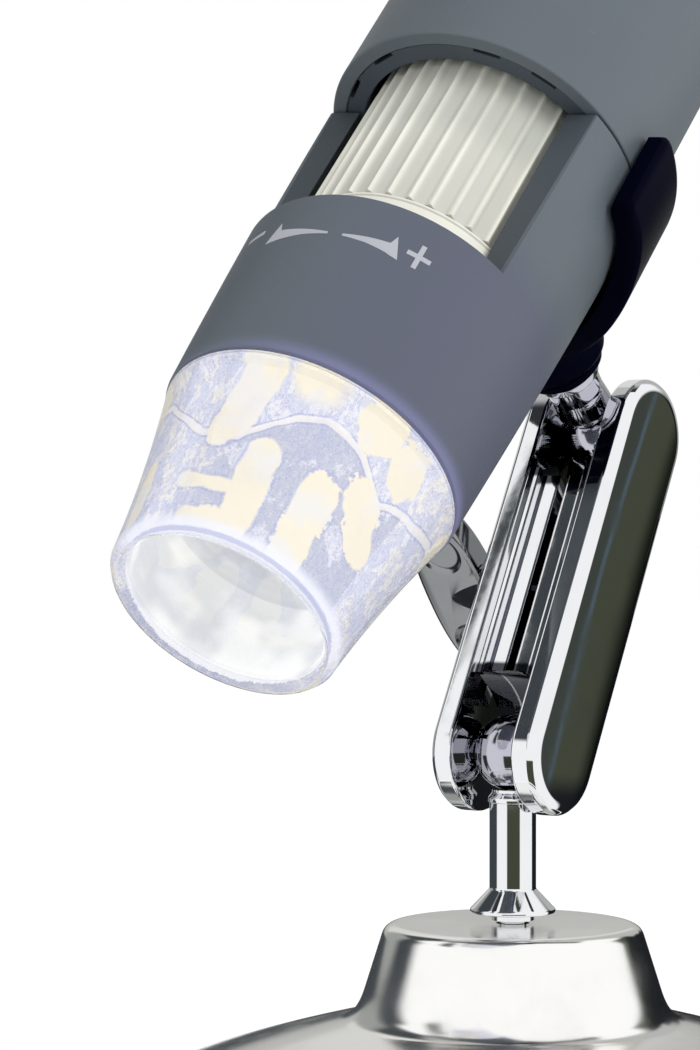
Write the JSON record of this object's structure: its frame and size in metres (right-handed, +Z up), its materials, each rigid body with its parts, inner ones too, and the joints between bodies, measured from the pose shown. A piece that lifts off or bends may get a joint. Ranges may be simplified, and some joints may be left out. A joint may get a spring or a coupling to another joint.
{
  "type": "handheld digital microscope on a stand",
  "caption": "Handheld digital microscope with a focus wheel and a lit clear nose, clipped in a chrome stand with two ball joints, a clamp wing and a round weighted base.",
  "frame": {"origin": "middle of the foot pad's underside, on the post's axis", "axes": "+Z up along the post; the post, the arm and the barrel's axis lie in the plane Y = 0, with the microscope's nose towards -X and down; the clamp wing is on the +Y side"},
  "size_m": [0.0923, 0.072, 0.136],
  "materials": {
    "chrome": "polished",
    "steel": "plain",
    "pad_rubber": "matte",
    "clip_black": "satin",
    "housing_grey": "fine matte",
    "collar_grey": "matte",
    "wheel_ivory": "satin",
    "clear_plastic": "clear",
    "lamp_white": "clear",
    "lens_glass": "polished",
    "inner_black": "matte",
    "board_green": "satin",
    "board_white": "satin"
  },
  "bodies": {
    "base": {"base_pad": "pad_rubber", "base_weight": "steel", "base_shell": "chrome", "base_screw": "steel", "post": "chrome"},
    "lower_ball": {"lower_ball": "chrome"},
    "arm": {"arm_near_half": "chrome", "arm_far_half": "chrome", "wing_washer": "chrome"},
    "wing": {"clamp_screw": "steel", "clamp_wing": "chrome"},
    "upper_ball": {"upper_ball": "chrome"},
    "head": {"upper_neck": "chrome", "boss_collar": "clip_black", "clip_cradle": "clip_black"},
    "microscope": {"front_housing": "housing_grey", "rear_housing": "housing_grey", "end_cap": "housing_grey", "cord_gland": "inner_black", "tip_cap": "clear_plastic", "led_board": "board_white", "led_1": "lamp_white", "led_2": "lamp_white", "led_3": "lamp_white", "led_4": "lamp_white", "led_5": "lamp_white", "led_6": "lamp_white", "led_7": "lamp_white", "led_8": "lamp_white", "inner_collar": "collar_grey", "sensor_board": "board_green", "image_sensor": "inner_black", "control_board": "board_green", "snap_switch": "inner_black"},
    "wheel": {"focus_wheel": "wheel_ivory"},
    "lens": {"lens_barrel": "inner_black", "lens_retainer": "inner_black", "front_lens": "lens_glass", "rear_lens": "lens_glass"},
    "button": {"snap_button": "clip_black"}
  },
  "joints": [
    {"name": "base_swivel", "type": "hinge", "parent": "base", "child": "lower_ball", "pos_m": [0, 0, 0.03375], "axis": [0, 0, 1], "continuous": true},
    {"name": "arm_tilt", "type": "hinge", "parent": "lower_ball", "child": "arm", "pos_m": [0, 0, 0.03375], "axis": [0, 1, 0], "range_deg": [-30, 45]},
    {"name": "wing_turn", "type": "hinge", "parent": "arm", "child": "wing", "pos_m": [0.00865, 0, 0.04985], "axis": [0, 1, 0], "range_deg": [-180, 30]},
    {"name": "head_tilt", "type": "hinge", "parent": "arm", "child": "upper_ball", "pos_m": [0.0173, 0, 0.06595], "axis": [0, 1, 0], "range_deg": [-25, 60]},
    {"name": "head_turn", "type": "hinge", "parent": "upper_ball", "child": "head", "pos_m": [0.0173, 0, 0.06595], "axis": [0.7178, 0, -0.6963], "range_deg": [-180, 180]},
    {"name": "barrel_slide", "type": "slide", "parent": "head", "child": "microscope", "axis": [0.6963, 0, 0.7178], "range_m": [-0.03, 0.02]},
    {"name": "focus_turn", "type": "hinge", "parent": "microscope", "child": "wheel", "pos_m": [-0.00571, 0, 0.09312], "axis": [0.6963, 0, 0.7178], "range_deg": [-150, 150]},
    {"name": "lens_travel", "type": "slide", "parent": "microscope", "child": "lens", "axis": [0.6963, 0, 0.7178], "range_m": [-0.00705, 0.00705]},
    {"name": "snap_press", "type": "slide", "parent": "microscope", "child": "button", "axis": [0.7145, 0.0958, -0.6931], "range_m": [0, 0.0006], "stiffness_N_per_m": 600, "springref_m": -0.001}
  ],
  "couplings": [
    {"joint": "lens_travel", "follows": "focus_turn", "m_per_rad": 0.0026738}
  ]
}
